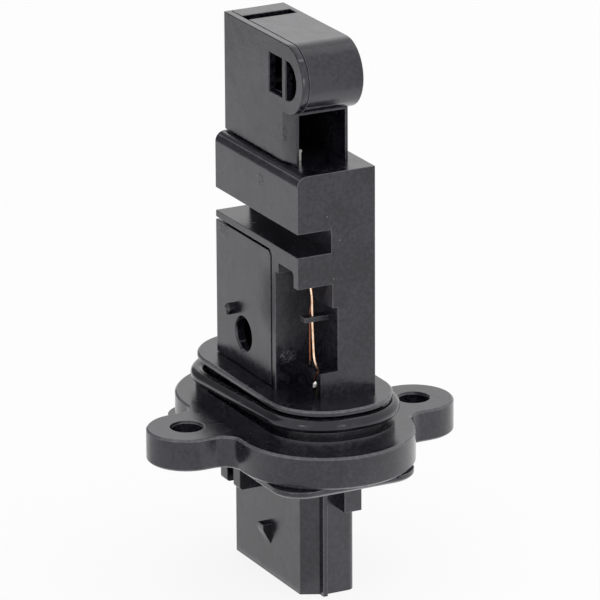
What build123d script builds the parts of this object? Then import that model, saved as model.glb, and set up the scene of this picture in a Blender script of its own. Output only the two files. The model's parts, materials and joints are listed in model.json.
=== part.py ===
from build123d import *
import os

# Plug-in mass airflow sensor. All sizes are in millimetres.
# The probe points up along +Z. Air flows along X and enters on the +X side.
# The near side, with both covers, faces -Y.
# The origin is the centre of the oval spigot, on the flange face that meets the air duct.
os.makedirs("parts", exist_ok=True)

# Flange with its two ears
flange_length = 49.1
flange_width = 28.6
flange_thickness = 5.25
flange_edge_chamfer = 0.3
ear_radius = 6.42
ear_root_radius = 2.8
bolt_hole_diameter = 4.86
bolt_hole_chamfer = 0.3
near_hole_x = -0.1
far_hole_x = 4.65
bolt_hole_y = 18.8

# Oval spigot with the groove for the seal ring
spigot_length = 41.4
spigot_width = 20.6
spigot_corner_radius = 9.45
spigot_height = 6.35
spigot_edge_chamfer = 0.25
spigot_root_height = 1.53
spigot_root_step = 0.33
ring_section = 2.3
ring_flat_count = 24
ring_proud = 0.97
ring_groove_clearance = 0.04
ring_groove_z = 3.1

# Plinth under the flange
plinth_length = 45.4
plinth_near_y = -13.0
plinth_far_y = 11.2
plinth_height = 1.15
plinth_corner_radius = 5.0
plinth_edge_chamfer = 0.4

# Probe body
probe_front_x = 14.5
probe_back_x = -13.65
probe_width = 13.5
lower_body_height = 23.6
cross_slot_height = 3.73
cross_slot_wall_y = -0.88
block_height = 9.18
block_edge_radius = 1.7

# Head, which holds the bypass passages
head_height = 19.26
head_far_y = 5.55
bypass_cover_thickness = 1.25
bypass_cover_gap = 0.15
near_wall_inner_y = -3.73
duct_far_y = 4.23
riser_far_y = 4.65
snout_radius = 5.57
snout_x = 7.5
snout_edge_radius = 0.25
mouth_x = 9.45
mouth_taper_length = 3.4
mouth_tip_thickness = 0.47
seam_chamfer = 0.12
outlet_slot_x = -9.8
outlet_slot_length = 2.4
sensing_riser_x = -5.8
sensing_riser_length = 4.0
window_radius = 3.1
window_drop = 0.2
window_back_x = 1.8
window_bar_x = 6.1
window_bar_width = 1.3
window_front_straight = 0.35

# Circuit cover on the near side, with its peg and vent
cover_thickness = 1.5
cover_gap = 0.22
cover_foot_gap = 0.1
cover_front_x = 5.5
cover_rim_height = 1.1
cover_corner_radius = 1.0
peg_radius = 0.93
peg_length = 1.55
peg_end_chamfer = 0.4
peg_x = -7.5
peg_height = 9.05
vent_diameter = 5.4
vent_chamfer = 0.25
vent_x = -4.15
vent_height = 5.75

# Circuit cavity and what lies in it
cavity_back_wall = 1.45
cavity_front_wall = 1.3
cavity_floor_height = 1.95
cavity_top_wall = 1.4
plate_clearance = 0.2
plate_thickness = 1.2
board_thickness = 0.8
board_side_gap = 0.6
board_foot_gap = 2.8
gel_depth = 2.7
chip_size = 5.0
chip_thickness = 1.1
chip_edge_chamfer = 0.22
chip_x = -6.2
chip_drop = 5.3
capacitor_length = 2.0
capacitor_width = 1.25
capacitor_height = 1.1
capacitor_x = -0.6
capacitor_drop = 7.3
capacitor_pitch = 2.6
resistor_length = 1.6
resistor_width = 0.8
resistor_height = 0.5
resistor_x = -0.6
resistor_drop = 2.1

# Thermistor chamber at the front corner of the probe
chamber_back_x = 6.85
chamber_wall_y = 0.2
chamber_step_x = 7.92
chamber_step_drop = 4.35
chamber_top_wall = 2.65
chamber_corner_radius = 0.8
curtain_thickness = 1.45
curtain_drop = 5.15
lip_wall_y = -0.7
lip_drop = 9.05
sill_height = 4.2
sill_wall_y = -2.87
guide_bar_back_x = 9.95
guide_bar_front_x = 11.65
guide_bar_near_y = -4.05
guide_bar_drop = 11.82
guide_bar_thickness = 0.8
guide_hole_clearance = 0.07

# Thermistor bead, its leads and their tabs
bead_radius = 0.75
bead_x = 10.75
bead_above_bar = 7.35
bead_height = 1.5
bead_chamfer = 0.35
lead_diameter = 0.36
lead_y = -2.5
front_lead_x = 11.15
front_lead_knee_x = 13.0
front_lead_knee_height = 0.7
back_lead_x = 10.35
lead_straight_run = 1.2
front_lead_foot_x = 13.5
front_lead_foot_bend = 0.25
front_lead_foot_height = 1.25
back_lead_foot_height = 4.45
tab_thickness = 0.4
tab_width = 0.6
front_tab_height = 2.55
back_tab_height = 5.25
front_tab_run_depth = 2.95
back_tab_run_depth = 1.45
front_tab_foot_x = 1.9
back_tab_foot_x = 2.9

# Sensing elements in the duct and the four posts that carry them
post_x = [-5.0, -2.6, 4.3, 6.56]
post_foot_x = [-5.0, -2.6, 0.5, 2.6]
post_jog_height = [2.8, 2.8, 2.8, 1.2]
post_strip_width = 0.6
post_bend_depth = 3.46
post_pin_width = 0.36
post_pin_y = -2.2
post_height = 1.6
post_weld_width = 0.54
post_weld_height = 0.44
post_weld_chamfer = 0.12
post_foot_length = 1.4
element_drop = 0.35
element_radius = 0.32
element_length = 0.9
element_lead_width = 0.14

# Connector shroud
shroud_length = 24.0
shroud_back_x = -12.1
shroud_near_y = -4.35
shroud_far_y = 4.55
shroud_rim_z = -27.4
shroud_chamfer_length = 1.9
shroud_front_step = 0.5
shroud_far_radius = 1.3
shroud_wall = 1.2
socket_depth = 16.0
key_rib_near_y = -1.55
key_rib_width = 0.81
key_rib_height = 0.8
wedge_x = -1.0
wedge_width = 2.0
wedge_reach = 1.35
wedge_top_height = 8.55
wedge_land = 0.9
wedge_height = 3.5

# Ribs that carry the shroud under the plinth
root_rib_x = [-8.05, -3.6]
root_rib_width = 2.2
root_rib_near_y = -8.5
root_rib_length = 6.9
root_rib_radius = 0.6
root_block_front_x = 15.0
root_block_near_y = 1.05
root_block_width = 3.0
root_block_length = 6.6

# Terminals, cut from flat strip
terminal_count = 5
terminal_width = 1.2
terminal_thickness = 0.64
terminal_pitch = 3.9
terminal_recess = 4.8
terminal_tip_chamfer = 0.2
terminal_foot_length = 2.4
terminal_foot_pitch = 2.7
first_foot_x = -10.2
first_jog_depth = 3.6
jog_step = 1.5

# Places worked out from the sizes above
probe_half = probe_width / 2
lower_top_z = spigot_height + lower_body_height
block_bottom_z = lower_top_z + cross_slot_height
block_top_z = block_bottom_z + block_height
head_top_z = block_top_z + head_height
head_near_y = near_wall_inner_y - bypass_cover_thickness
snout_z = head_top_z - snout_radius
window_z = snout_z - window_drop
window_round_x = window_bar_x + window_bar_width + window_front_straight
duct_top_z = snout_z - snout_radius
ring_groove_height = ring_section + 2 * ring_groove_clearance
ring_groove_depth = ring_section - ring_proud + ring_groove_clearance
ring_offset = ring_proud - ring_section / 2
ring_z = ring_groove_z + ring_groove_height / 2
plinth_z = -flange_thickness - plinth_height
cover_seat_y = -probe_half + cover_thickness
cover_top_z = lower_top_z - cover_rim_height - cover_gap
shroud_front_x = shroud_back_x + shroud_length
socket_x = (shroud_back_x + shroud_front_x) / 2
socket_y = (shroud_near_y + shroud_far_y) / 2
socket_floor_z = shroud_rim_z + socket_depth
board_face_y = socket_y + terminal_thickness / 2
plate_face_y = board_face_y + board_thickness
cavity_floor_y = plate_face_y + plate_thickness
cavity_back_x = probe_back_x + cavity_back_wall
cavity_front_x = cover_front_x - cavity_front_wall
cavity_bottom_z = spigot_height + cavity_floor_height
cavity_top_z = cover_top_z - cavity_top_wall
plate_x = (cavity_back_x + plate_clearance, cavity_front_x - plate_clearance)
plate_z = (cavity_bottom_z + plate_clearance, cavity_top_z - plate_clearance)
board_x = (plate_x[0] + board_side_gap, plate_x[1] - board_side_gap)
board_z = (plate_z[0] + board_foot_gap, plate_z[1] - board_side_gap)
gel_face_y = board_face_y - gel_depth
curtain_back_x = probe_front_x - curtain_thickness
curtain_bottom_z = lower_top_z - curtain_drop
chamber_top_z = lower_top_z - chamber_top_wall
chamber_step_z = lower_top_z - chamber_step_drop
lip_bottom_z = lower_top_z - lip_drop
sill_z = spigot_height + sill_height
guide_bar_z = lower_top_z - guide_bar_drop
guide_bar_top_z = guide_bar_z + guide_bar_thickness
bead_z = guide_bar_z + bead_above_bar
lead_radius = lead_diameter / 2
front_lead_foot_z = spigot_height + front_lead_foot_height
back_lead_foot_z = spigot_height + back_lead_foot_height
front_tab_top_z = spigot_height + front_tab_height
back_tab_top_z = spigot_height + back_tab_height
front_tab_run_z = spigot_height - front_tab_run_depth
back_tab_run_z = spigot_height - back_tab_run_depth
back_tab_near_y = lead_y + lead_radius
front_tab_near_y = sill_wall_y - tab_thickness
front_lead_foot_y = front_tab_near_y - lead_radius
post_bend_z = block_top_z - post_bend_depth
post_top_z = block_top_z + post_height
element_z = post_top_z - element_drop
over = 2.0


# Gives the plane at y on which a shape is drawn as seen from the near side.
def near_view(y):
    return Plane.XZ.offset(-y)


# Adds or cuts an upright block between two corners.
def block(x, y, z, mode=Mode.ADD):
    with Locations((sum(x) / 2, sum(y) / 2, sum(z) / 2)):
        Box(x[1] - x[0], y[1] - y[0], z[1] - z[0], mode=mode)


# Draws a rectangle between two corners in the sketch being drawn.
def panel(u, v, mode=Mode.ADD):
    with Locations((sum(u) / 2, sum(v) / 2)):
        Rectangle(u[1] - u[0], v[1] - v[0], mode=mode)


# Names a finished piece and writes its file.
def save(name, piece):
    piece.part.label = name
    export_step(piece.part, f"parts/{name}.step")


# Terminals: a blade in the socket, a jog inside the flange and a foot on the board
terminals = []
for number in range(terminal_count):
    blade_x = socket_x + terminal_pitch * (number - (terminal_count - 1) / 2)
    foot_x = first_foot_x + terminal_foot_pitch * number
    jog_z = jog_step * number - first_jog_depth
    half = terminal_width / 2
    with BuildPart() as terminal:
        with BuildSketch(near_view(board_face_y)):
            panel((blade_x - half, blade_x + half), (shroud_rim_z + terminal_recess, jog_z + half))
            panel((foot_x - half, blade_x + half), (jog_z - half, jog_z + half))
            panel((foot_x - half, foot_x + half), (jog_z - half, board_z[0] + terminal_foot_length))
        extrude(amount=terminal_thickness)
        tip = terminal.faces().sort_by(Axis.Z)[0]
        chamfer(tip.edges(), terminal_tip_chamfer)
    terminals.append(terminal)
    save(f"terminal_{number + 1}", terminal)


# Thermistor tabs: a leg beside the lead, a run inside the spigot and a foot on the board
def bent_tab(leg_x, leg_near_y, leg_top_z, run_z, foot_x):
    half = tab_width / 2
    run = (run_z, run_z + tab_thickness)
    block((leg_x - half, leg_x + half), (leg_near_y, leg_near_y + tab_thickness), (run_z, leg_top_z))
    block((foot_x - half, leg_x + half), (leg_near_y, leg_near_y + tab_width), run)
    block((foot_x - half, foot_x + half), (leg_near_y, board_face_y), run)
    foot_top_z = board_z[0] + terminal_foot_length
    block((foot_x - half, foot_x + half), (board_face_y - tab_thickness, board_face_y), (run_z, foot_top_z))


with BuildPart() as front_tab:
    bent_tab(front_lead_foot_x, front_tab_near_y, front_tab_top_z, front_tab_run_z, front_tab_foot_x)
save("thermistor_tab_front", front_tab)

with BuildPart() as back_tab:
    bent_tab(back_lead_x, back_tab_near_y, back_tab_top_z, back_tab_run_z, back_tab_foot_x)
save("thermistor_tab_back", back_tab)

# Thermistor leads, bent from the foot of the bead through the guide bar to their tabs
bar_exit_z = guide_bar_top_z + lead_straight_run
bead_foot_z = bead_z - bead_height / 2
with BuildPart() as front_lead:
    with BuildLine():
        route = Polyline(
            (bead_x + lead_diameter, lead_y, bead_foot_z),
            (bead_x + lead_diameter, lead_y, bead_foot_z - lead_straight_run),
            (front_lead_x, lead_y, bar_exit_z),
            (front_lead_x, lead_y, guide_bar_z - lead_diameter),
            (front_lead_knee_x, lead_y, sill_z + front_lead_knee_height),
            (front_lead_foot_x, front_lead_foot_y, sill_z - front_lead_foot_bend),
            (front_lead_foot_x, front_lead_foot_y, front_lead_foot_z),
        )
    with BuildSketch(Plane(route @ 0, z_dir=route % 0)):
        Circle(lead_radius)
    sweep(transition=Transition.RIGHT)
save("thermistor_lead_front", front_lead)

with BuildPart() as back_lead:
    with BuildLine():
        route = Polyline(
            (bead_x - lead_diameter, lead_y, bead_foot_z),
            (bead_x - lead_diameter, lead_y, bead_foot_z - lead_straight_run),
            (back_lead_x, lead_y, bar_exit_z),
            (back_lead_x, lead_y, back_lead_foot_z),
        )
    with BuildSketch(Plane(route @ 0, z_dir=route % 0)):
        Circle(lead_radius)
    sweep(transition=Transition.RIGHT)
save("thermistor_lead_back", back_lead)

# Thermistor bead, which stands on the ends of both leads
with BuildPart() as bead:
    with Locations((bead_x, lead_y, bead_z)):
        Cylinder(bead_radius, bead_height)
    chamfer(bead.edges().filter_by(GeomType.CIRCLE), bead_chamfer)
save("thermistor_bead", bead)

# Sensing posts: a flat strip from the board, bent over and up into a square pin
posts = []
for number in range(len(post_x)):
    top_x = post_x[number]
    foot_x = post_foot_x[number]
    jog_z = block_bottom_z + post_jog_height[number]
    half = post_strip_width / 2
    with BuildPart() as post:
        with BuildSketch(near_view(board_face_y)):
            panel((foot_x - half, foot_x + half), (board_z[1] - post_foot_length, jog_z + half))
            panel((foot_x - half, top_x + half), (jog_z - half, jog_z + half))
            panel((top_x - half, top_x + half), (jog_z - half, post_bend_z + tab_thickness))
        extrude(amount=tab_thickness)
        bend = (post_bend_z, post_bend_z + tab_thickness)
        block((top_x - half, top_x + half), (post_pin_y - half, board_face_y), bend)
        with BuildSketch(Plane.XY.offset(post_bend_z)):
            with Locations((top_x, post_pin_y)):
                Rectangle(post_pin_width, post_pin_width)
        extrude(amount=post_top_z - post_bend_z)
        with Locations((top_x, post_pin_y, post_top_z)):
            Box(post_weld_width, post_weld_width, post_weld_height)
        chamfer(post.edges().group_by(Axis.Z)[-1], post_weld_chamfer)
    posts.append(post)
    save(f"sensing_post_{number + 1}", post)


# Sensing element: a small bobbin on a lead that ends on the pins at both sides
def bobbin(left_post, right_post):
    left_x = post_x[left_post]
    right_x = post_x[right_post]
    middle = (left_x + right_x) / 2
    with Locations(Plane.YZ.offset(middle) * Location((post_pin_y, element_z, 0))):
        Cylinder(element_radius, element_length)
        Box(element_lead_width, element_lead_width, right_x - left_x - post_pin_width)


with BuildPart() as heater_element:
    bobbin(0, 1)
save("heater_element", heater_element)

with BuildPart() as reference_element:
    bobbin(2, 3)
save("reference_element", reference_element)


# Draws the whole side view of the head above the mouth.
def head_upper_outline():
    panel((probe_back_x, snout_x), (duct_top_z, head_top_z))
    with Locations((snout_x, snout_z)):
        Circle(snout_radius)


# Draws the triangle that thins a mouth wall from its outer face to its tip.
def mouth_taper(outer_y, tip_y):
    with BuildSketch(Plane.XY.offset(block_top_z), mode=Mode.PRIVATE) as taper:
        with BuildLine():
            Polyline(
                (mouth_x - mouth_taper_length, outer_y),
                (mouth_x, tip_y),
                (mouth_x + over, tip_y),
                (mouth_x + over, outer_y),
                close=True,
            )
        make_face()
    return taper.sketch


# Housing: flange, spigot, probe, head and connector shroud in one moulding
with BuildPart() as housing:
    with BuildSketch():
        SlotOverall(flange_length, flange_width)
        for hole_x, hole_y in ((near_hole_x, -bolt_hole_y), (far_hole_x, bolt_hole_y)):
            with Locations((hole_x, hole_y)):
                Circle(ear_radius)
            panel((hole_x - ear_radius, hole_x + ear_radius), sorted((0, hole_y)))
        offset(amount=ear_root_radius)
        offset(amount=-ear_root_radius)
    extrude(amount=-flange_thickness)
    rims = housing.edges().group_by(Axis.Z)
    chamfer(rims[0] + rims[-1], flange_edge_chamfer)
    for hole_x, hole_y in ((near_hole_x, -bolt_hole_y), (far_hole_x, bolt_hole_y)):
        with Locations((hole_x, hole_y, 0)):
            CounterSinkHole(bolt_hole_diameter / 2, bolt_hole_diameter / 2 + bolt_hole_chamfer)
        with Locations(Plane((hole_x, hole_y, -flange_thickness), z_dir=(0, 0, -1))):
            CounterSinkHole(bolt_hole_diameter / 2, bolt_hole_diameter / 2 + bolt_hole_chamfer)

    # Spigot, from its stepped root up to the lip above the ring groove
    groove_top_z = ring_groove_z + ring_groove_height
    spigot_steps = [
        (0, spigot_root_height, spigot_root_step),
        (spigot_root_height, ring_groove_z, 0),
        (ring_groove_z, groove_top_z, -ring_groove_depth),
        (groove_top_z, spigot_height, 0),
    ]
    for low, high, step in spigot_steps:
        with BuildSketch(Plane.XY.offset(low)):
            RectangleRounded(spigot_length + 2 * step, spigot_width + 2 * step, spigot_corner_radius + step)
        extrude(amount=high - low)
    chamfer(housing.edges().group_by(Axis.Z)[-1], spigot_edge_chamfer)

    # Probe body with the cross slot and the rounded edge on its middle block
    block((probe_back_x, probe_front_x), (-probe_half, probe_half), (spigot_height, block_top_z))
    top_edges = housing.edges().filter_by(Axis.X).group_by(Axis.Z)[-1]
    fillet(top_edges.sort_by(Axis.Y)[0], block_edge_radius)
    slot_x = (probe_back_x - over, probe_front_x + over)
    block(slot_x, (-probe_half - over, cross_slot_wall_y), (lower_top_z, block_bottom_z), Mode.SUBTRACT)

    # Head, with the far wall thinned to a tip beside the mouth
    with BuildSketch(near_view(head_far_y)):
        panel((probe_back_x, mouth_x), (block_top_z, snout_z))
    extrude(amount=head_far_y - near_wall_inner_y)
    far_taper = mouth_taper(head_far_y, duct_far_y + mouth_tip_thickness)
    extrude(far_taper, amount=snout_z - block_top_z, mode=Mode.SUBTRACT)
    with BuildSketch(near_view(head_far_y)):
        head_upper_outline()
    extrude(amount=head_far_y - near_wall_inner_y)

    # Inlet duct, outlet riser, and the sensing riser that leads to the windows
    with BuildSketch(near_view(duct_far_y)):
        panel((outlet_slot_x, mouth_x + over), (block_top_z, duct_top_z))
    extrude(amount=duct_far_y - near_wall_inner_y, mode=Mode.SUBTRACT)
    with BuildSketch(near_view(riser_far_y)):
        panel((outlet_slot_x, outlet_slot_x + outlet_slot_length), (duct_top_z, head_top_z + over))
        sensing_riser = (sensing_riser_x, sensing_riser_x + sensing_riser_length)
        panel(sensing_riser, (duct_top_z, window_z + window_radius))
        panel((sensing_riser_x, window_round_x), (window_z - window_radius, window_z + window_radius))
        with Locations((window_round_x, window_z)):
            Circle(window_radius)
    extrude(amount=riser_far_y - near_wall_inner_y, mode=Mode.SUBTRACT)

    # Seat and cavity for the circuit
    with BuildSketch(near_view(cover_seat_y)) as seat:
        panel((probe_back_x - over, cover_front_x + cover_gap), (spigot_height, cover_top_z + cover_gap))
        fillet(seat.vertices().group_by(Axis.X)[-1].sort_by(Axis.Y)[-1], cover_corner_radius + cover_gap)
    extrude(amount=cover_thickness + over, mode=Mode.SUBTRACT)
    cavity_x = (cavity_back_x, cavity_front_x)
    cavity_z = (cavity_bottom_z, cavity_top_z)
    block(cavity_x, (cover_seat_y - over, cavity_floor_y), cavity_z, Mode.SUBTRACT)

    # Thermistor chamber, open to the near side and the front
    open_x = probe_front_x + over
    with BuildSketch(near_view(lip_wall_y)) as chamber:
        with BuildLine():
            Polyline(
                (chamber_back_x, sill_z),
                (chamber_back_x, chamber_step_z),
                (chamber_step_x, chamber_step_z),
                (chamber_step_x, chamber_top_z),
                (curtain_back_x, chamber_top_z),
                (curtain_back_x, curtain_bottom_z),
                (open_x, curtain_bottom_z),
                (open_x, sill_z),
                close=True,
            )
        make_face()
        crown = chamber.vertices().group_by(Axis.Y)[-1]
        fillet(crown.sort_by(Axis.X)[-1], chamber_corner_radius)
    extrude(amount=probe_half + lip_wall_y + over, mode=Mode.SUBTRACT)
    recess_y = (lip_wall_y - over, chamber_wall_y)
    block((chamber_back_x, open_x), recess_y, (sill_z, lip_bottom_z), Mode.SUBTRACT)
    sill_y = (-probe_half - over, sill_wall_y)
    block((chamber_back_x, open_x), sill_y, (spigot_height, sill_z), Mode.SUBTRACT)

    # Guide bar across the chamber, with two holes for the leads
    bar_y = (guide_bar_near_y, chamber_wall_y)
    block((guide_bar_back_x, guide_bar_front_x), bar_y, (guide_bar_z, guide_bar_top_z))
    for lead_x in (front_lead_x, back_lead_x):
        with BuildSketch(Plane.XY.offset(guide_bar_z)):
            with Locations((lead_x, lead_y)):
                Circle(lead_radius + guide_hole_clearance)
        extrude(amount=guide_bar_thickness, mode=Mode.SUBTRACT)

    # Plinth under the flange
    with BuildSketch(Plane.XY.offset(-flange_thickness)):
        with Locations((0, (plinth_near_y + plinth_far_y) / 2)):
            RectangleRounded(plinth_length, plinth_far_y - plinth_near_y, plinth_corner_radius)
    extrude(amount=-plinth_height)
    chamfer(housing.edges().group_by(Axis.Z)[0], plinth_edge_chamfer)

    # Connector shroud with its keyed front edge
    with BuildSketch(Plane.XY.offset(plinth_z)) as shroud_sketch:
        with BuildLine():
            Polyline(
                (shroud_back_x, shroud_near_y),
                (shroud_front_x - shroud_chamfer_length, shroud_near_y),
                (shroud_front_x - shroud_front_step, key_rib_near_y),
                (shroud_front_x, key_rib_near_y),
                (shroud_front_x, shroud_far_y),
                (shroud_back_x, shroud_far_y),
                close=True,
            )
        make_face()
        fillet(shroud_sketch.vertices().group_by(Axis.Y)[-1], shroud_far_radius)
        panel((socket_x, shroud_front_x + key_rib_height), (key_rib_near_y, key_rib_near_y + key_rib_width))
    extrude(amount=shroud_rim_z - plinth_z)
    wedge_top_z = shroud_rim_z + wedge_top_height
    with BuildSketch(Plane.YZ.offset(wedge_x - wedge_width / 2)):
        with BuildLine():
            Polyline(
                (shroud_near_y, wedge_top_z),
                (shroud_near_y - wedge_reach, wedge_top_z),
                (shroud_near_y - wedge_reach, wedge_top_z - wedge_land),
                (shroud_near_y, wedge_top_z - wedge_height),
                close=True,
            )
        make_face()
    extrude(amount=wedge_width)
    for rib_x in root_rib_x:
        with BuildSketch(Plane.YZ.offset(rib_x - root_rib_width / 2)) as rib:
            panel((root_rib_near_y, shroud_near_y), (plinth_z - root_rib_length, plinth_z))
            fillet(rib.vertices().group_by(Axis.X)[0].sort_by(Axis.Y)[0], root_rib_radius)
        extrude(amount=root_rib_width)
    root_block_y = (root_block_near_y, root_block_near_y + root_block_width)
    block((shroud_front_x, root_block_front_x), root_block_y, (plinth_z - root_block_length, plinth_z))

    # Socket for the plug
    with BuildSketch(Plane.XY.offset(shroud_rim_z)) as socket:
        with BuildLine():
            Polyline(
                (shroud_back_x, shroud_near_y),
                (shroud_front_x - shroud_chamfer_length, shroud_near_y),
                (shroud_front_x, key_rib_near_y),
                (shroud_front_x, shroud_far_y),
                (shroud_back_x, shroud_far_y),
                close=True,
            )
        make_face()
        offset(amount=-shroud_wall, kind=Kind.INTERSECTION, mode=Mode.REPLACE)
    extrude(amount=socket_depth, mode=Mode.SUBTRACT)

    # Pockets for the metal that is moulded in
    for insert in (*terminals, front_tab, back_tab, *posts):
        add(insert.part, mode=Mode.SUBTRACT)
save("housing", housing)

# Bypass cover, which closes the passages and carries the two outlet windows
with BuildPart() as bypass_cover:
    cover_bottom_z = block_top_z + bypass_cover_gap
    with BuildSketch(near_view(near_wall_inner_y)):
        panel((probe_back_x, mouth_x), (cover_bottom_z, snout_z))
    extrude(amount=bypass_cover_thickness)
    near_taper = mouth_taper(head_near_y, near_wall_inner_y - mouth_tip_thickness)
    extrude(near_taper, amount=snout_z - block_top_z, mode=Mode.SUBTRACT)
    with BuildSketch(near_view(near_wall_inner_y)):
        head_upper_outline()
    extrude(amount=bypass_cover_thickness)
    seam = bypass_cover.edges().group_by(Axis.Y)[-1]
    chamfer(seam.filter_by(lambda e: e.center().Z > snout_z), seam_chamfer)
    with BuildSketch(near_view(near_wall_inner_y)):
        window_span = (window_z - window_radius, window_z + window_radius)
        with Locations((window_round_x, window_z)):
            Circle(window_radius)
        panel((window_back_x, window_round_x), window_span)
        panel((window_bar_x, window_bar_x + window_bar_width), window_span, Mode.SUBTRACT)
    extrude(amount=bypass_cover_thickness, mode=Mode.SUBTRACT)
save("bypass_cover", bypass_cover)

# Circuit cover with its peg and vent hole
with BuildPart() as circuit_cover:
    with BuildSketch(near_view(cover_seat_y)) as cover_sketch:
        panel((probe_back_x, cover_front_x), (spigot_height + cover_foot_gap, cover_top_z))
        fillet(cover_sketch.vertices().group_by(Axis.X)[-1].sort_by(Axis.Y)[-1], cover_corner_radius)
        with Locations((vent_x, spigot_height + vent_height)):
            Circle(vent_diameter / 2, mode=Mode.SUBTRACT)
    extrude(amount=cover_thickness)
    with BuildSketch(near_view(-probe_half)):
        with Locations((peg_x, spigot_height + peg_height)):
            Circle(peg_radius)
    extrude(amount=peg_length)
    chamfer(circuit_cover.edges().group_by(Axis.Y)[0], peg_end_chamfer)
    near_rims = circuit_cover.edges().filter_by_position(Axis.Y, -probe_half, -probe_half)
    chamfer(near_rims.filter_by(GeomType.CIRCLE).sort_by(lambda e: e.radius)[-1], vent_chamfer)
save("circuit_cover", circuit_cover)

# Seal ring, a cord closed on itself round the spigot and drawn with narrow flats
with BuildPart() as seal_ring:
    half_x = spigot_length / 2 + ring_offset
    half_y = spigot_width / 2 + ring_offset
    with BuildLine(Plane.XY.offset(ring_z)):
        ring_path = FilletPolyline(
            (-half_x, -half_y),
            (half_x, -half_y),
            (half_x, half_y),
            (-half_x, half_y),
            radius=spigot_corner_radius + ring_offset,
            close=True,
        )
    with BuildSketch(Plane(ring_path @ 0, z_dir=ring_path % 0)):
        RegularPolygon(ring_section / 2, ring_flat_count)
    sweep()
save("seal_ring", seal_ring)

# Base plate and circuit board
with BuildPart() as base_plate:
    block(plate_x, (plate_face_y, cavity_floor_y), plate_z)
save("base_plate", base_plate)

with BuildPart() as circuit_board:
    block(board_x, (board_face_y, plate_face_y), board_z)
save("circuit_board", circuit_board)


with BuildPart() as control_chip:
    with BuildSketch(near_view(board_face_y)):
        with Locations((chip_x, board_z[1] - chip_drop)):
            Rectangle(chip_size, chip_size)
    extrude(amount=chip_thickness)
    chamfer(control_chip.faces().sort_by(Axis.Y)[0].edges(), chip_edge_chamfer)
save("control_chip", control_chip)

board_parts = [control_chip]
for number in range(2):
    with BuildPart() as capacitor:
        with BuildSketch(near_view(board_face_y)):
            with Locations((capacitor_x, board_z[1] - capacitor_drop + capacitor_pitch * number)):
                Rectangle(capacitor_length, capacitor_width)
        extrude(amount=capacitor_height)
    board_parts.append(capacitor)
    save(f"capacitor_{number + 1}", capacitor)

with BuildPart() as resistor:
    with BuildSketch(near_view(board_face_y)):
        with Locations((resistor_x, board_z[1] - resistor_drop)):
            Rectangle(resistor_length, resistor_width)
    extrude(amount=resistor_height)
board_parts.append(resistor)
save("resistor", resistor)

# Gel poured over the board, round everything that stands on it
with BuildPart() as sealing_gel:
    block((cavity_back_x, cavity_front_x), (gel_face_y, board_face_y), (cavity_bottom_z, cavity_top_z))
    for buried in (*terminals, front_tab, back_tab, *posts, *board_parts):
        add(buried.part, mode=Mode.SUBTRACT)
save("sealing_gel", sealing_gel)
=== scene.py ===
import bmesh
import bpy
import json
import math
import numpy as np
from mathutils import Matrix, Vector


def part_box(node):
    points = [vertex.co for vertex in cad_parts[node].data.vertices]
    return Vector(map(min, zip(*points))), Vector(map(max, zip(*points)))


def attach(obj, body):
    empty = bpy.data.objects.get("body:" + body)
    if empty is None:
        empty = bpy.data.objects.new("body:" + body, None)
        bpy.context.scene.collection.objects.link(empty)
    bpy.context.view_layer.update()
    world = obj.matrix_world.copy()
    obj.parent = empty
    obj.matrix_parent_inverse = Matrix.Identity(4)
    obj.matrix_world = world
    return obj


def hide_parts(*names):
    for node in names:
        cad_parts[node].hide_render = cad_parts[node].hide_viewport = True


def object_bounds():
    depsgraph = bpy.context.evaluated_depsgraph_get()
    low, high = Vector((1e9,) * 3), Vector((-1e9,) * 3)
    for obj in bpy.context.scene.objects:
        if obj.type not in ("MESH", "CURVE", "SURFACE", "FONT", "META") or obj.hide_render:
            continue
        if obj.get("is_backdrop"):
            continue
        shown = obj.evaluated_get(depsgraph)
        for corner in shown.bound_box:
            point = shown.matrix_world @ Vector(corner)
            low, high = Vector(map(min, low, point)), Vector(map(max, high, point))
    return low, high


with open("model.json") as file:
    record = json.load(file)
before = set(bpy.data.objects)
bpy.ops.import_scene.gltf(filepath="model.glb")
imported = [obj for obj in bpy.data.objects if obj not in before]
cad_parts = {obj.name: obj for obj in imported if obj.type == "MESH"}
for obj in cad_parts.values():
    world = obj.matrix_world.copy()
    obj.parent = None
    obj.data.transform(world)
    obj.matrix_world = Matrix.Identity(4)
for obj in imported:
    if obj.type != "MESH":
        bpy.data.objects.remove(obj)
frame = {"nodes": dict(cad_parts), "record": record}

scene = bpy.context.scene
nodes = frame["nodes"]
cadLow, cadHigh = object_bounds()
mm = 0.001
even = (1, 1, 1)  # no squash along any axis


# an object in the scene for a mesh, a lamp or a camera
def newObject(name, data):
    obj = bpy.data.objects.new(name, data)
    scene.collection.objects.link(obj)
    return obj


# where the camera stands in metres, which way it looks in degrees, its lens in millimetres,
# and the nearest and farthest that it sees in metres
cameraSet = dict(
    place=(0.74489, -0.38351, 0.30144),
    azimuth=62.69,
    elevation=18.70,
    roll=-0.30,
    lens=339.0,
    nearest=0.01,
    farthest=50.0,
)


# the line of sight comes from azimuth and elevation, and the roll turns the two axes that are square to it
def makeCamera(s):
    a, e, r = (math.radians(s[k]) for k in ("azimuth", "elevation", "roll"))
    back = Vector((math.sin(a) * math.cos(e), -math.cos(a) * math.cos(e), math.sin(e)))
    level = Vector((math.cos(a), math.sin(a), 0))
    upright = back.cross(level)
    right = level * math.cos(r) + upright * math.sin(r)
    up = upright * math.cos(r) - level * math.sin(r)
    data = bpy.data.cameras.new("camera")
    data.lens = s["lens"]
    data.clip_start = s["nearest"]
    data.clip_end = s["farthest"]
    obj = newObject("camera", data)
    obj.matrix_world = Matrix.Translation(s["place"]) @ Matrix((right, up, back)).transposed().to_4x4()
    scene.camera = obj


makeCamera(cameraSet)
scene.view_settings.view_transform = "Standard"
print("camera placed")


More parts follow.
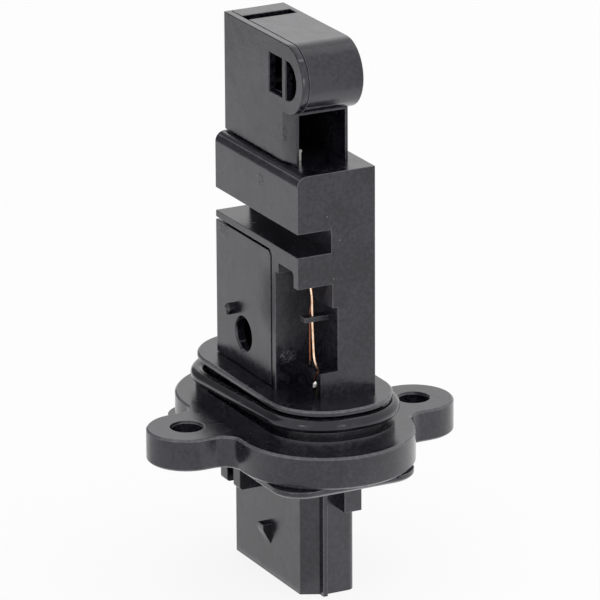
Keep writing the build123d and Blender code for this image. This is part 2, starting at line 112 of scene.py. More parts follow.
# a socket in a node tree, on which ordinary sums add Math nodes
class Wire:
    def __init__(self, shade, socket):
        self.shade = shade
        self.socket = socket

    def maths(self, operation, a, b):
        return self.shade.node("ShaderNodeMath", dict(operation=operation), {0: a, 1: b})

    def __add__(self, other):
        return self.maths("ADD", self, other)

    def __radd__(self, other):
        return self.maths("ADD", other, self)

    def __sub__(self, other):
        return self.maths("SUBTRACT", self, other)

    def __rsub__(self, other):
        return self.maths("SUBTRACT", other, self)

    def __mul__(self, other):
        return self.maths("MULTIPLY", self, other)

    def __rmul__(self, other):
        return self.maths("MULTIPLY", other, self)

    def larger(self, other):
        return self.maths("MAXIMUM", self, other)


# one node tree, with short words for the nodes that every finish here uses
class Shade:
    speckCore = 0.5  # a speck is whole inside this share of its radius
    patchCore = 0.4  # and so is a patch
    sharp = 0.02  # the width of the step between cells with a speck and cells without

    def __init__(self, name, owner=None):
        self.owner = owner or bpy.data.materials.new(name)
        self.owner.use_nodes = True
        self.tree = self.owner.node_tree
        self.tree.nodes.clear()

    # a node of a type: its settings first, and then a value or a link for each socket
    # a colour is three numbers here, and its fourth is 1
    def node(self, kind, settings=None, sockets=None, out=0):
        made = self.tree.nodes.new(kind)
        for key, value in (settings or {}).items():
            setattr(made, key, value)
        for key, value in (sockets or {}).items():
            socket = made.inputs[key]
            if isinstance(value, Wire):
                self.tree.links.new(value.socket, socket)
            elif isinstance(value, tuple) and len(socket.default_value) == 4:
                socket.default_value = (*value, 1)
            else:
                socket.default_value = value
        return Wire(self, made.outputs[out]) if made.outputs else None

    def vector(self, operation, a, b, out=0):
        return self.node("ShaderNodeVectorMath", dict(operation=operation), {0: a, 1: b}, out)

    # the two colours of a Mix node are its sockets 6 and 7, and its output 2
    def mix(self, factor, a, b):
        return self.node("ShaderNodeMix", dict(data_type="RGBA"), {"Factor": factor, 6: a, 7: b}, out=2)

    # 0 at low and 1 at high, smooth between, and the other way round where low is the larger
    def step(self, value, low, high):
        flip = low > high
        inner = {"Value": value, "From Min": min(low, high), "From Max": max(low, high)}
        outer = {"To Min": float(flip), "To Max": float(not flip)}
        return self.node("ShaderNodeMapRange", dict(interpolation_type="SMOOTHSTEP"), {**inner, **outer})

    # place on the piece in millimetres, times the squash along each axis, with a shift along all three
    def place(self, squash=even, shift=0.0):
        spot = self.node("ShaderNodeTexCoord", out="Object")
        squashed = self.vector("MULTIPLY", spot, tuple(k / mm for k in squash))
        return self.vector("ADD", squashed, (shift,) * 3)

    # cloudy noise from 0 to 1, with clouds of a size in millimetres
    def clouds(self, size, detail, seed=0.0, squash=even):
        spot = self.place(squash, seed)
        return self.node("ShaderNodeTexNoise", sockets={"Vector": spot, "Scale": 1 / size, "Detail": detail})

    # small round specks, 1 at the middle and 0 outside, in a share of the cells of a size in millimetres
    def specks(self, cell, radius, share):
        sockets = {"Vector": self.place(), "Scale": 1 / cell}
        far = self.node("ShaderNodeTexVoronoi", sockets=sockets)
        tint = self.node("ShaderNodeTexVoronoi", sockets=sockets, out="Color")
        red = self.node("ShaderNodeSeparateColor", sockets={0: tint})
        chosen = self.step(red, 1 - share, 1 - share + self.sharp)
        return chosen * self.step(far, radius / cell, radius / cell * self.speckCore)

    # 1 inside a ball round a point in millimetres, fading to 0 at its radius
    def patch(self, middle, radius, squash=even):
        squashed = tuple(m * k for m, k in zip(middle, squash))
        far = self.vector("DISTANCE", self.place(squash), squashed, out="Value")
        return self.step(far, radius, radius * self.patchCore)

    # a normal for a height times a depth, in millimetres
    def bump(self, height, depth=1.0):
        return self.node("ShaderNodeBump", sockets={"Height": height, "Distance": depth * mm})

    def output(self, surface, kind="ShaderNodeOutputMaterial"):
        self.node(kind, sockets={"Surface": surface})
        return self.owner

    def finish(self, sockets):
        return self.output(self.node("ShaderNodeBsdfPrincipled", sockets=sockets))


# 1 for the rays that should meet a plain white backdrop: from the camera, a gloss or a glass
def whiteRays(shade):
    kinds = ("Is Camera Ray", "Is Glossy Ray", "Is Transmission Ray")
    camera, gloss, glass = (shade.node("ShaderNodeLightPath", out=kind) for kind in kinds)
    return camera.larger(gloss).larger(glass)


# a flat board with four corners in metres, for the studio
def flatBoard(name, corners, material):
    mesh = bpy.data.meshes.new(name)
    mesh.from_pydata(corners, [], [(0, 1, 2, 3)])
    mesh.materials.append(material)
    return newObject(name, mesh)


# the floor and the air round the object, with half the floor's side in metres
stageSet = dict(
    halfSize=4.0,
    paint=(0.92, 0.92, 0.92),
    shownWhite=0.87,  # how much of the floor that the camera sees is plain white, and the rest shows the shadow
    white=(1.0, 1.0, 1.0),
    glow=1.0,
)


def makeStage(s):
    shade = Shade("floorPaint")
    paint = shade.node("ShaderNodeBsdfDiffuse", sockets={"Color": s["paint"]})
    white = shade.node("ShaderNodeEmission", sockets={"Color": s["white"], "Strength": s["glow"]})
    share = whiteRays(shade) * s["shownWhite"]
    both = shade.node("ShaderNodeMixShader", sockets={0: share, 1: paint, 2: white})
    h = s["halfSize"]
    z = cadLow[2]
    floor = flatBoard("floor", [(-h, -h, z), (h, -h, z), (h, h, z), (-h, h, z)], shade.output(both))
    floor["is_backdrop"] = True
    scene.world = bpy.data.worlds.new("studio")
    air = Shade("studio", scene.world)
    light = air.node("ShaderNodeBackground", sockets={"Color": s["white"], "Strength": s["glow"]})
    air.output(light, "ShaderNodeOutputWorld")


# a dark board at the left, which only the plastic's gloss shows
flagSet = dict(bearing=213.0, distance=0.36, halfWidth=0.29, top=0.40, paint=(0.26, 0.26, 0.27))


# the board stands on the floor, square to its bearing in degrees
def makeFlag(s):
    b = math.radians(s["bearing"])
    middle = Vector((math.cos(b), math.sin(b), 0)) * s["distance"]
    across = Vector((-math.sin(b), math.cos(b), 0)) * s["halfWidth"]
    feet = [middle - across, middle + across]
    heights = [cadLow[2], cadLow[2], s["top"], s["top"]]
    corners = [(f.x, f.y, z) for f, z in zip(feet + feet[::-1], heights)]
    shade = Shade("flagPaint")
    paint = shade.node("ShaderNodeBsdfDiffuse", sockets={"Color": s["paint"]})
    board = flatBoard("blackFlag", corners, shade.output(paint))
    board.visible_camera = False
    board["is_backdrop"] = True


# soft lamps: bearing and height in degrees from the aim, distance and size in metres, and brightness
lampSet = dict(
    behind=dict(aim=(0, 0, 0.062), bearing=152.7, height=27.0, distance=0.28, size=(0.20, 0.12), glow=0.45),
    overhead=dict(aim=(0, 0, 0.062), bearing=100.0, height=62.0, distance=0.60, size=(0.26, 0.20), glow=0.4),
    leftStrip=dict(aim=(0, 0, 0), bearing=-61.0, height=4.0, distance=0.70, size=(0.085, 0.26), glow=4.0),
    rightStrip=dict(aim=(0, 0, 0), bearing=6.0, height=6.0, distance=0.70, size=(0.085, 0.26), glow=4.0),
    lightTable=dict(
        aim=(0, 0.085, -0.0272), bearing=0.0, height=-90.0, distance=0.0, size=(0.18, 0.18), glow=0.3
    ),
)


# a lamp's power is its brightness times pi times its area
def makeLamp(name, s):
    b, h = math.radians(s["bearing"]), math.radians(s["height"])
    away = Vector((math.cos(b) * math.cos(h), math.sin(b) * math.cos(h), math.sin(h)))
    data = bpy.data.lights.new(name, "AREA")
    data.shape = "RECTANGLE"
    data.size, data.size_y = s["size"]
    data.energy = s["glow"] * math.pi * data.size * data.size_y
    lamp = newObject(name, data)
    turned = away.to_track_quat("Z", "Y").to_matrix().to_4x4()
    lamp.matrix_world = Matrix.Translation(Vector(s["aim"]) + away * s["distance"]) @ turned


makeStage(stageSet)
makeFlag(flagSet)
for name, s in lampSet.items():
    makeLamp(name, s)
print("stage and lamps made")

# black moulded plastic: two blacks in clouds, a fine grain, light specks, flow marks and worn places
# each place is its middle in millimetres, its radius, and how far it is squashed along each axis
plasticSet = dict(
    density=1.62,
    tint=(0.965, 0.955, 1.0),
    noises=dict(
        cloud=dict(size=7.0, detail=4.0, seed=5.0),
        flow=dict(size=2.6, detail=3.0, seed=31.0),
        mottle=dict(size=0.62, detail=4.0, seed=17.0),
        grain=dict(size=0.16, detail=2.0),
    ),
    toneShares=dict(cloud=0.3, mottle=0.45, grain=0.25),  # what each noise adds to the tone
    toneEdge=(0.42, 0.58),  # the tones at which the darker black starts to end and the paler one is whole
    depths=dict(mottle=0.016, grain=0.005, flow=0.03),  # in millimetres
    sways=dict(flow=0.22, mottle=0.12),  # how far each noise changes the roughness
    fineSpecks=dict(cell=2.4, radius=0.09, share=0.08),
    specks=[
        (2.0, -4.98, 44.0),
        (11.6, 4.3, 42.86),
        (14.5, -1.6, 35.9),
        (14.5, 0.6, 31.8),
        (14.5, -0.5, 25.7),
        (3.7, -4.35, -17.5),
    ],
    speck=dict(radius=0.14, pale=(0.17, 0.17, 0.18), cover=0.8, height=0.02),
    scuffs=[
        ((-11.0, -6.75, 27.6), 1.6, (0.8, 1, 1)),
        ((1.98, -6.75, 39.1), 1.3, even),
        ((6.7, -4.8, 47.4), 0.9, (1.3, 1, 0.6)),
        ((6.85, -4.4, 11.3), 1.7, (1, 1, 1.5)),
        ((13.0, 18.5, 0.0), 1.8, (1.6, 0.6, 1)),
    ],
    scuff=dict(size=0.3, detail=2.0, edge=(0.42, 0.60), pale=(0.060, 0.059, 0.064), cover=0.8, height=0.16),
    scratches=[((-1.0, -14.3, 0.0), 0.9, (0.8, 3.5, 1)), ((6.5, -16.2, 0.0), 1.5, (0.9, 6.0, 1))],
    scratchCover=0.5,
    dull=[((6.85, -3.6, 20.5), 8.0, (1, 1, 0.9)), ((14.0, 0.0, 22.0), 3.5, even)],
    dullRough=0.3,
)
# its two blacks and its roughness, on its faces, and on its chamfers and edges a paler copy that is a painted
# highlight
plasticKinds = dict(
    blackPlastic=dict(dark=(0.0010, 0.0008, 0.0032), pale=(0.0165, 0.0156, 0.0218), roughness=0.23),
    plasticEdge=dict(dark=(0.060, 0.059, 0.065), pale=(0.095, 0.093, 0.102), roughness=0.20),
)


# tone, height and roughness are sums of the same noises, each times its own share
def mouldedPlastic(name, s):
    shade = Shade(name)
    noises = {key: shade.clouds(**noise) for key, noise in s["noises"].items()}
    speck, scuff = s["speck"], s["scuff"]
    specks = shade.specks(**s["fineSpecks"])
    for middle in s["specks"]:
        specks = specks.larger(shade.patch(middle, speck["radius"]))
    tone = sum(noises[key] * share for key, share in s["toneShares"].items())
    colour = shade.mix(shade.step(tone, *s["toneEdge"]), s["dark"], s["pale"])
    colour = shade.mix(specks * speck["cover"], colour, speck["pale"])
    height = sum(noises[key] * depth for key, depth in s["depths"].items()) + specks * speck["height"]
    rough = sum((noises[key] - 0.5) * sway for key, sway in s["sways"].items()) + s["roughness"]
    for middle, radius, squash in s["scuffs"]:
        patchy = shade.step(shade.clouds(scuff["size"], scuff["detail"], seed=radius), *scuff["edge"])
        worn = shade.patch(middle, radius, squash) * patchy
        colour = shade.mix(worn * scuff["cover"], colour, scuff["pale"])
        height = height + worn * scuff["height"]
    for place in s["scratches"]:
        colour = shade.mix(shade.patch(*place) * s["scratchCover"], colour, scuff["pale"])
    for place in s["dull"]:
        rough = rough + shade.patch(*place) * s["dullRough"]
    sockets = {"Base Color": colour, "Roughness": rough, "Normal": shade.bump(height)}
    return shade.finish({**sockets, "IOR": s["density"], "Specular Tint": s["tint"]})


# seal rubber, smooth and oily, with a matt bloom in places
rubberSet = dict(
    dark=(0.0035, 0.0033, 0.0052),
    pale=(0.0110, 0.0105, 0.0135),
    cloud=dict(size=2.2, detail=4.0),
    bloomEdge=(0.48, 0.66),  # the clouds at which the bloom starts and is whole
    bloomRough=0.16,
    roughness=0.14,
    grain=dict(size=0.2, detail=3.0, seed=9.0),
    depth=0.001,
    density=1.55,
    tint=(0.93, 0.92, 1.0),
)


def sealRubber(name, s):
    shade = Shade(name)
    bloom = shade.step(shade.clouds(**s["cloud"]), *s["bloomEdge"])
    sockets = {
        "Base Color": shade.mix(bloom, s["dark"], s["pale"]),
        "Roughness": bloom * s["bloomRough"] + s["roughness"],
        "Normal": shade.bump(shade.clouds(**s["grain"]), s["depth"]),
        "IOR": s["density"],
        "Specular Tint": s["tint"],
    }
    return shade.finish(sockets)


# bare metal: a tint that wanders, with duller patches, and lines drawn out along the axis that has a squash under 1
metalSet = dict(
    copperWire=dict(
        light=(0.99, 0.74, 0.55), dull=(0.82, 0.42, 0.22), roughness=0.24, squash=(1, 1, 0.12), depth=0.004,
        paintedShadePatch=((13.8, -3.3, 9.2), 3.2),  # painted shade where the lead goes dark near the weld: middle and radius
        paintedShadeColour=(0.03, 0.012, 0.008),
    ),
    tinnedStrip=dict(
        light=(0.80, 0.79, 0.76), dull=(0.52, 0.50, 0.47), roughness=0.28, squash=(1, 1, 0.15), depth=0.003
    ),
    # the tinned strip painted nearly black: a painted shade at the chamber's dark foot
    tarnishedStrip=dict(
        light=(0.06, 0.055, 0.05), dull=(0.03, 0.028, 0.026), roughness=0.35, squash=(1, 1, 0.15), depth=0.003
    ),
    # the back lead's copper, painted darker and browner: a painted shade
    enamelledWire=dict(
        light=(0.30, 0.11, 0.06), dull=(0.18, 0.06, 0.035), roughness=0.30, squash=(1, 1, 0.12), depth=0.004
    ),
    weldSolder=dict(
        light=(0.97, 0.97, 0.95), dull=(0.88, 0.88, 0.86), roughness=0.22, squash=even, depth=0.006, metallic=0.5
    ),
    aluminiumPlate=dict(
        light=(0.75, 0.76, 0.77), dull=(0.55, 0.56, 0.58), roughness=0.34, squash=(0.1, 1, 1), depth=0.003
    ),
)
metalGrain = dict(
    cloud=dict(size=1.3, detail=4.0),
    dullEdge=(0.44, 0.72),
    dullRough=0.2,
    lines=dict(size=0.12, detail=2.0, seed=3.0),
)


def bareMetal(name, s, grain):
    shade = Shade(name)
    dull = shade.step(shade.clouds(**grain["cloud"]), *grain["dullEdge"])
    colour = shade.mix(dull, s["light"], s["dull"])
    # the copper is painted darker near the weld, a painted shade
    if "paintedShadePatch" in s:
        colour = shade.mix(shade.patch(*s["paintedShadePatch"]), colour, s["paintedShadeColour"])
    sockets = {
        "Base Color": colour,
        "Metallic": s.get("metallic", 1.0),
        "Roughness": dull * grain["dullRough"] + s["roughness"],
        "Normal": shade.bump(shade.clouds(**grain["lines"], squash=s["squash"]), s["depth"]),
    }
    return shade.finish(sockets)


# fired, moulded or poured fillings: two tones in clouds, and grains, both of their own size in millimetres
fillingSet = dict(
    ceramicBoard=dict(
        tones=((0.83, 0.81, 0.76), (0.74, 0.71, 0.65)), cloud=3.0, grain=0.08, depth=0.003, roughness=0.42
    ),
    chipResin=dict(
        tones=((0.030, 0.030, 0.032), (0.050, 0.050, 0.052)), cloud=1.5, grain=0.05, depth=0.004, roughness=0.5
    ),
    capacitorBody=dict(
        tones=((0.42, 0.30, 0.20), (0.33, 0.23, 0.15)), cloud=0.7, grain=0.04, depth=0.002, roughness=0.4
    ),
    darkGel=dict(
        tones=((0.020, 0.020, 0.023), (0.034, 0.034, 0.038)), cloud=4.0, grain=0.6, depth=0.006, roughness=0.16
    ),
    beadResin=dict(
        tones=((0.045, 0.035, 0.032), (0.075, 0.055, 0.045)), cloud=0.8, grain=0.1, depth=0.004, roughness=0.2
    ),
    ceramicBobbin=dict(
        tones=((0.86, 0.86, 0.83), (0.76, 0.75, 0.70)), cloud=0.5, grain=0.05, depth=0.003, roughness=0.25
    ),
)
fillingGrain = dict(cloudDetail=4.0, toneEdge=(0.35, 0.65), grainDetail=2.0, grainSeed=7.0, sway=0.2)


def filling(name, s, grain):
    shade = Shade(name)
    tone = shade.step(shade.clouds(s["cloud"], grain["cloudDetail"]), *grain["toneEdge"])
    grains = shade.clouds(s["grain"], grain["grainDetail"], grain["grainSeed"])
    sockets = {
        "Base Color": shade.mix(tone, *s["tones"]),
        "Roughness": (grains - 0.5) * grain["sway"] + s["roughness"],
        "Normal": shade.bump(grains, s["depth"]),
    }
    return shade.finish(sockets)


finishes = {"sealRubber": sealRubber("sealRubber", rubberSet)}
for name, s in plasticKinds.items():
    finishes[name] = mouldedPlastic(name, {**plasticSet, **s})
for name, s in metalSet.items():
    finishes[name] = bareMetal(name, s, metalGrain)
for name, s in fillingSet.items():
    finishes[name] = filling(name, s, fillingGrain)

# the record's material slots and the finish that stands for each
slotFinish = dict(
    black_plastic="blackPlastic",
    black_rubber="sealRubber",
    aluminium_plate="aluminiumPlate",
    ceramic_board="ceramicBoard",
    chip_resin="chipResin",
    capacitor_body="capacitorBody",
    dark_gel="darkGel",
    bead_resin="beadResin",
    copper_wire="copperWire",
    tinned_strip="tinnedStrip",
    ceramic_bobbin="ceramicBobbin",
)
# the two tabs that the leads are welded to are painted nearly black as painted shade, unlike the rest of their slot
nodeFinish = dict(thermistor_tab_front="tarnishedStrip", thermistor_tab_back="tarnishedStrip")
for part in frame["record"]["subparts"]:
    mesh = nodes[part["node"]].data
    mesh.materials.clear()
    mesh.materials.append(finishes[nodeFinish.get(part["node"], slotFinish[part["material_slot"]])])
print("finishes made")


# puts a finished mesh in the scene on the one body, with its slot's finish or one of its own
def addPiece(name, mesh, slot, replaced=(), finish=None):
    mesh.name = name
    piece = newObject(name, mesh)
    if not mesh.materials:
        mesh.materials.append(finishes[finish or slotFinish[slot]])
    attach(piece, "root")
    if replaced:
        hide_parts(*replaced)
    return piece


# mesh of a grid of points in millimetres: rows run along the surface, and columns round it
# each cell is one quad, and the columns close on themselves
# the rows close on themselves too where joined is true, and else a flat face closes each end
def gridMesh(points, joined=False):
    rows, columns = points.shape[:2]
    mesh = bpy.data.meshes.new("grid")
    row = np.arange(rows if joined else rows - 1)[:, None] * columns
    after = (row + columns) % (rows * columns)
    column = np.arange(columns)[None, :]
    beside = (column + 1) % columns
    quads = np.stack((row + column, after + column, after + beside, row + beside), -1).reshape(-1, 4)
    faces = quads.tolist()
    if not joined:
        faces += [list(range(columns)), list(range(rows * columns - 1, (rows - 1) * columns - 1, -1))]
    mesh.from_pydata((points.reshape(-1, 3) * mm).tolist(), [], faces)
    mesh.polygons.foreach_set("use_smooth", np.ones(len(mesh.polygons), bool))
    return mesh


# smooth path through points: each span is the Catmull-Rom cubic of its own two points and their neighbours
def smoothPath(points, count):
    points = np.asarray(points, float)
    points = np.vstack((2 * points[0] - points[1], points, 2 * points[-1] - points[-2]))
    t = np.linspace(0, len(points) - 3, count)
    i = np.minimum(t.astype(int), len(points) - 4)
    t = (t - i)[:, None]
    a, b, c, d = (points[i + k] for k in range(4))
    return 0.5 * (2 * b + (c - a) * t + (2 * a - 5 * b + 4 * c - d) * t**2 + (3 * b - a - 3 * c + d) * t**3)


# tube along a path: each ring of points is the path point plus the radius times a circle square to the path
def tube(path, radius, sides):
    ahead = np.gradient(path, axis=0)
    ahead /= np.linalg.norm(ahead, axis=1, keepdims=True)
    across = np.cross(ahead, (0.0, 1.0, 0.0))
    across /= np.linalg.norm(across, axis=1, keepdims=True)
    over = np.cross(ahead, across)
    turn = np.linspace(0, 2 * np.pi, sides, endpoint=False)[None, :, None]
    return path[:, None] + radius * (np.cos(turn) * across[:, None] + np.sin(turn) * over[:, None])


# round solid: the profile's radius turned round an axis through the middle, along x or z
def turned(middle, axis, along, radius, sides):
    turn = np.linspace(0, 2 * np.pi, sides, endpoint=False)
    size = np.asarray(radius, float)[:, None]
    length = np.broadcast_to(np.asarray(along, float)[:, None], (len(along), sides))
    parts = [size * np.cos(turn), size * np.sin(turn), length]
    order = {"x": (2, 0, 1), "z": (0, 1, 2)}[axis]
    return np.stack([parts[k] for k in order], -1) + np.asarray(middle, float)


# the spigot's gland: half the outline's sides and its corner's radius, how far the room reaches inside and outside
# the outline, and its bottom and top, where the photograph shows it open down to the ledge
glandSet = dict(half=(20.7, 10.3), corner=9.45, inside=-1.45, outside=0.6, low=1.50, high=5.51, steps=24)


# a closed line at a distance from the spigot's outline: each point is the middle of its corner, plus the
# corner's radius and the distance, times the point's direction
def outline(s, off, steps):
    turn = (np.arange(4 * steps) + 0.5) * np.pi / (2 * steps)
    outward = np.stack((np.cos(turn), np.sin(turn)), -1)
    return np.sign(outward) * (np.array(s["half"]) - s["corner"]) + (s["corner"] + off) * outward


# cuts the gland out of a mesh: a ring with a square section, taken away by a Boolean
def openGland(mesh, s):
    near, far, low, high = (s[k] for k in ("inside", "outside", "low", "high"))
    corners = [(near, low), (far, low), (far, high), (near, high)]
    lines = [np.column_stack((outline(s, off, s["steps"]), np.full(4 * s["steps"], z))) for off, z in corners]
    body, ring = (newObject("glandCut", m) for m in (mesh, gridMesh(np.stack(lines, 1), joined=True)))
    cut = body.modifiers.new("cut", "BOOLEAN")
    cut.object = ring
    cut.solver = "EXACT"
    opened = bpy.data.meshes.new_from_object(body.evaluated_get(bpy.context.evaluated_depsgraph_get()))
    for obj in (body, ring):
        bpy.data.objects.remove(obj)
    return opened


# moulded pieces, each a merged copy of its CAD node with its outer edges rounded by a width in millimetres
mouldSet = dict(
    housing=dict(
        width=0.27, fine=0.33, cuts=[(0, -0.1), (0, 4.65), (1, 0.0), (2, 56.35)], shut=0.0, gland=glandSet, edges=1
    ),
    bypass_cover=dict(width=0.27, fine=0.6, cuts=[(2, 56.35)], shut=0.0, edges=0),
    circuit_cover=dict(width=0.27, fine=0.3, cuts=[(0, -4.15), (0, -7.5)], shut=0.16, edges=0),
)
# fine: the share of the width that rounds all edges but the bold ones
# cuts: axis and place of the planes that part the faces through their holes, so that no face has a hole
# shut: how far the right and top edges are drawn in, so that the seam round the plate shows as a gap
# edges: which of the two plastics the rounded edges have, the faces' own or the paler one with the painted
# highlight

# what the rounding of all three goes by, with lengths in millimetres
roundingSet = dict(
    merge=0.002,  # corners nearer than this are one
    cutReach=0.0001,  # corners nearer to a cut than this lie on it
    rim=1.6,  # the right and top edges are what lies within this of the far right or the top
    bold=(-13.65, 0.05),  # the x of the probe's upright edges at its near left, and how far it may be off
    joined=math.radians(0.6),  # faces that bend less than this are one face
    curved=math.radians(0.8),  # faces that bend more than this are part of a curve
    edge=math.radians(32),  # faces that bend more than this meet at an edge
    chamfer=(math.sqrt(0.5), 0.02),  # the upward part of a chamfer's normal, and how far it may be off
    segments=2,
    flatWeight=100,
    # edges in these boxes stay sharp: the dark foot of the chamber, and the ledge under the ring
    sharpBoxes=[((6.0, -4.2, 6.2), (15.0, 0.5, 12.0)), ((-22, -12, 1.4), (22, 12, 1.6))],
)


# cuts the faces by each plane, and then joins all that lie flat, but not across a cut
def partFaces(form, cuts, r):
    for axis, place in cuts:
        through = np.eye(3)[axis]
        whole = form.verts[:] + form.edges[:] + form.faces[:]
        plane = dict(plane_co=through * place * mm, plane_no=through, dist=r["cutReach"] * mm)
        for edge in bmesh.ops.bisect_plane(form, geom=whole, **plane)["geom_cut"]:
            if isinstance(edge, bmesh.types.BMEdge):
                edge.seam = True
    bmesh.ops.dissolve_limit(
        form, angle_limit=r["joined"], verts=form.verts, edges=form.edges, delimit={"SEAM"}
    )


# moves the right and top edges inwards
def drawIn(form, shut, r):
    high = np.max([v.co for v in form.verts], axis=0)
    for vert in form.verts:
        for axis in (0, 2):
            if vert.co[axis] > high[axis] - r["rim"] * mm:
                vert.co[axis] -= shut * mm


# only outer edges are rounded, because a light line shows along an inner one that is
# a face is smooth where it is part of a curve: where it meets another at a slight bend
def weighEdges(form, fine, r):
    weight = form.edges.layers.float.new("bevel_weight_edge")
    boldPlace, boldReach = r["bold"]
    for edge in form.edges:
        bend = edge.calc_face_angle_signed(0.0)
        middle = (edge.verts[0].co + edge.verts[1].co) / (2 * mm)
        sharp = any(all(low[k] < middle[k] < top[k] for k in range(3)) for low, top in r["sharpBoxes"])
        bold = abs(middle.x - boldPlace) < boldReach and middle.y < 0
        edge[weight] = (1.0 if bold else fine) if bend > r["edge"] and not sharp else 0.0
        edge.smooth = abs(bend) < r["edge"] or edge[weight] > 0
    for face in form.faces:
        bends = [abs(edge.calc_face_angle_signed(0.0)) for edge in face.edges]
        face.smooth = any(r["curved"] < bend < r["edge"] for bend in bends)


# the plastic's second finish, whose paler colour is a painted highlight, goes to the chamfers, the faces whose
# normal is half upwards or half down
def finishMoulding(mesh, r):
    mesh.materials.clear()
    for name in ("blackPlastic", "plasticEdge"):
        mesh.materials.append(finishes[name])
    normals = np.empty(len(mesh.polygons) * 3)
    mesh.polygons.foreach_get("normal", normals)
    upward, reach = r["chamfer"]
    chamfers = np.abs(np.abs(normals.reshape(-1, 3)[:, 2]) - upward) < reach
    mesh.polygons.foreach_set("material_index", chamfers.astype(np.int32))


# a mesh's form with the corners of its loose triangles merged
def mergedForm(mesh, r):
    form = bmesh.new()
    form.from_mesh(mesh)
    bmesh.ops.remove_doubles(form, verts=form.verts, dist=r["merge"] * mm)
    return form


def roundedCopy(name, s, r):
    mesh = nodes[name].data.copy()
    form = mergedForm(mesh, r)
    if "gland" in s:
        form.to_mesh(mesh)
        form.free()
        mesh = openGland(mesh, s["gland"])
        form = mergedForm(mesh, r)
    partFaces(form, s["cuts"], r)
    drawIn(form, s["shut"], r)
    weighEdges(form, s["fine"], r)
    form.to_mesh(mesh)
    form.free()
    finishMoulding(mesh, r)
    piece = addPiece(name + "Moulding", mesh, "black_plastic", [name])
    bevel = piece.modifiers.new("edges", "BEVEL")
    bevel.width = s["width"] * mm
    bevel.segments = r["segments"]
    bevel.limit_method = "WEIGHT"
    bevel.use_clamp_overlap = False
    bevel.loop_slide = False
    # the rounded edges take the plastic that edges names, and for the housing that is the paler one, a painted
    # highlight
    bevel.material = s["edges"]
    flats = piece.modifiers.new("flats", "WEIGHTED_NORMAL")
    flats.weight = r["flatWeight"]
    flats.keep_sharp = True


for name, s in mouldSet.items():
    roundedCopy(name, s, roundingSet)
print("mouldings rounded")

# seal ring: section, the level of its middle line, how far that hangs at each end and over what length,
# points along and round it, and the parting line's height, width and turn round the section
ringSet = dict(
    section=2.26,
    level=3.36,
    hang=0.75,
    over=14.0,
    steps=72,
    sides=64,
    flash=0.02,
    flashWidth=0.05,
    flashTurn=0.35,
)


# a round cord whose middle line is the spigot's outline, with a fine ridge on its outside, a bell curve of the turn
# it hangs in the gland, lower at the left, by a tanh curve along x
def sealRing(s, gland):
    middle = outline(gland, 0.0, s["steps"])
    outward = np.pad(outline(gland, 1.0, s["steps"]) - middle, ((0, 0), (0, 1)))[:, None]
    line = np.column_stack((middle, s["level"] + s["hang"] * np.tanh(middle[:, 0] / s["over"])))[:, None]
    turn = np.linspace(0, 2 * np.pi, s["sides"], endpoint=False)
    fromRidge = np.angle(np.exp(1j * (turn - s["flashTurn"])))
    ridge = s["flash"] * np.exp(-((fromRidge / s["flashWidth"]) ** 2))
    radius = (s["section"] / 2 - s["flash"] + ridge)[None, :, None]
    turn = turn[None, :, None]
    points = line + radius * (np.cos(turn) * outward + np.sin(turn) * np.array((0, 0, 1.0)))
    return gridMesh(points, joined=True)


addPiece("sealRing", sealRing(ringSet, glandSet), "black_rubber", ["seal_ring"])

# thermistor leads: paths in millimetres from inside the bead, through the guide bar, to the tabs
leadSet = dict(
    front=dict(
        radius=0.19,
        finish="copperWire",
        path=[
            (10.85, -2.5, 25.9), (10.70, -2.5, 24.8), (10.62, -2.5, 23.6), (10.98, -2.46, 21.9),
            (11.06, -2.48, 20.6), (11.13, -2.5, 19.2), (11.16, -2.5, 17.8), (11.30, -2.5, 16.2),
            (11.45, -2.5, 14.4), (11.62, -2.5, 12.7), (11.95, -2.5, 11.8), (12.6, -2.55, 11.15),
            (13.5, -2.7, 10.8), (13.95, -3.2, 10.5), (13.75, -3.46, 9.7), (13.5, -3.46, 7.7),
        ],
    ),
    back=dict(
        radius=0.15,
        # the back lead has the copper's painted-shade copy
        finish="enamelledWire",
        path=[
            (10.5, -2.4, 25.9), (10.3, -2.2, 24.8), (10.2, -2.1, 23.6), (10.5, -2.15, 21.9),
            (10.45, -2.3, 20.6), (10.37, -2.48, 19.2), (10.38, -2.5, 17.8), (10.32, -2.5, 15.8),
            (10.30, -2.5, 13.6), (10.36, -2.5, 11.6), (10.35, -2.5, 10.9),
        ],
    ),
)
leadGrid = dict(steps=120, sides=20)
for end, s in leadSet.items():
    points = tube(smoothPath(s["path"], leadGrid["steps"]), s["radius"], leadGrid["sides"])
    addPiece(end + "Lead", gridMesh(points), "copper_wire", ["thermistor_lead_" + end], s["finish"])

# thermistor bead: its middle, how far it reaches down and up, its radius, its neck's and its tip's
beadSet = dict(
    middle=(10.73, -2.5, 25.5), low=-1.0, high=0.95, radius=0.74, neck=0.36, tip=0.02, steps=48, sides=40
)


# a dipped drop: its radius is half an oval of its length, and below no less than a neck that narrows
# with the square of what is left of the length
def dippedBead(s):
    t = np.linspace(0, 1, s["steps"])
    oval = np.sqrt(np.maximum(1 - (2 * t - 1) ** 2, 0)) * s["radius"]
    radius = np.maximum(oval, s["neck"] * (1 - t) ** 2)
    radius[-1] = s["tip"]
    return gridMesh(turned(s["middle"], "z", s["low"] + (s["high"] - s["low"]) * t, radius, s["sides"]))


addPiece("thermistorDrop", dippedBead(beadSet), "bead_resin", ["thermistor_bead"])

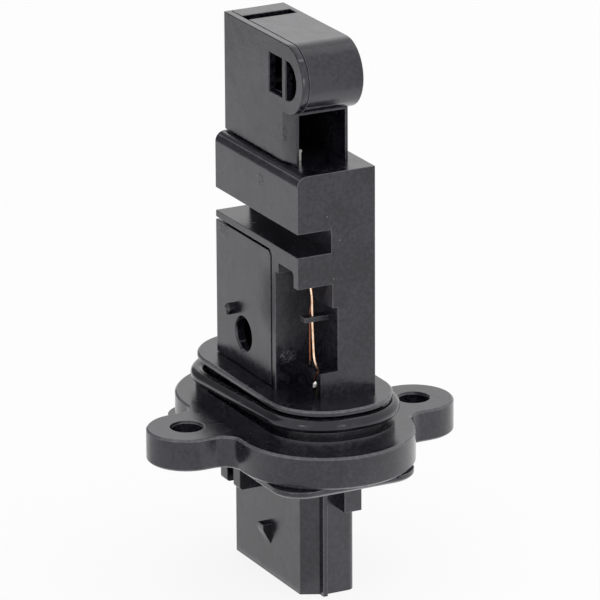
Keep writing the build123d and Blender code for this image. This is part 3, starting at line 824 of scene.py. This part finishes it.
# the welds between the leads and their tabs
weldSet = dict(
    frontWeld=dict(middle=(13.85, -3.55, 8.72), length=1.25, radius=0.27, lean=0.45, finish="weldSolder"),
    # the back weld is painted nearly black too: a painted shade
    backWeld=dict(middle=(10.35, -2.42, 11.3), length=0.8, radius=0.27, lean=0.0, finish="tarnishedStrip"),
)
weldShape = dict(ripple=0.1, ripples=5, tip=0.004, steps=24, sides=28)


# a rounded blob: its radius is the half circle of its length, with ripples, and it leans along x as it rises
def weldBlob(s, shape):
    swing = np.linspace(-0.5 * np.pi, 0.5 * np.pi, shape["steps"])
    wavy = 1 + shape["ripple"] * np.sin(shape["ripples"] * swing)
    radius = np.cos(swing) * s["radius"] * wavy + shape["tip"]
    points = turned((0, 0, 0), "z", np.sin(swing) * s["length"] / 2, radius, shape["sides"])
    points[..., 0] += s["lean"] * points[..., 2]
    return gridMesh(points + np.array(s["middle"]))


for name, s in weldSet.items():
    addPiece(name, weldBlob(s, weldShape), "tinned_strip", finish=s["finish"])

# sensing elements, each a wound bobbin on a wire between two pins: the bobbin's length and radius, the share
# of its length that rounds each end, its winding's turns and grooves, and the wire's radius
elementSet = dict(
    length=0.9,
    radius=0.3,
    cap=0.1,
    tip=0.01,
    turns=11,
    groove=0.02,
    wire=0.07,
    steps=160,
    sides=32,
    wireSteps=24,
    wireSides=16,
)


# the radius is less by a cosine with one wave for each turn, times a quarter circle at each end
def bobbin(middle, s):
    t = np.linspace(-0.5, 0.5, s["steps"])
    cap = np.sqrt(1 - np.clip((np.abs(t) - (0.5 - s["cap"])) / s["cap"], 0, 1) ** 2)
    wound = s["radius"] - s["groove"] * (1 + np.cos(2 * np.pi * s["turns"] * t))
    return gridMesh(turned(middle, "x", t * s["length"], np.maximum(wound * cap, s["tip"]), s["sides"]))


# a straight wire along x, with one radius all the way
def elementWire(middle, reach, s):
    along = np.linspace(-reach, reach, s["wireSteps"])
    return gridMesh(turned(middle, "x", along, np.full(s["wireSteps"], s["wire"]), s["wireSides"]))


for name in ("heater_element", "reference_element"):
    low, high = (np.array(v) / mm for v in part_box(name))
    middle = (low + high) / 2
    addPiece(name + "Bobbin", bobbin(middle, elementSet), "ceramic_bobbin", [name])
    addPiece(name + "Wire", elementWire(middle, (high - low)[0] / 2, elementSet), "tinned_strip")
print("leads, bead, welds and elements made")

low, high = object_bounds()
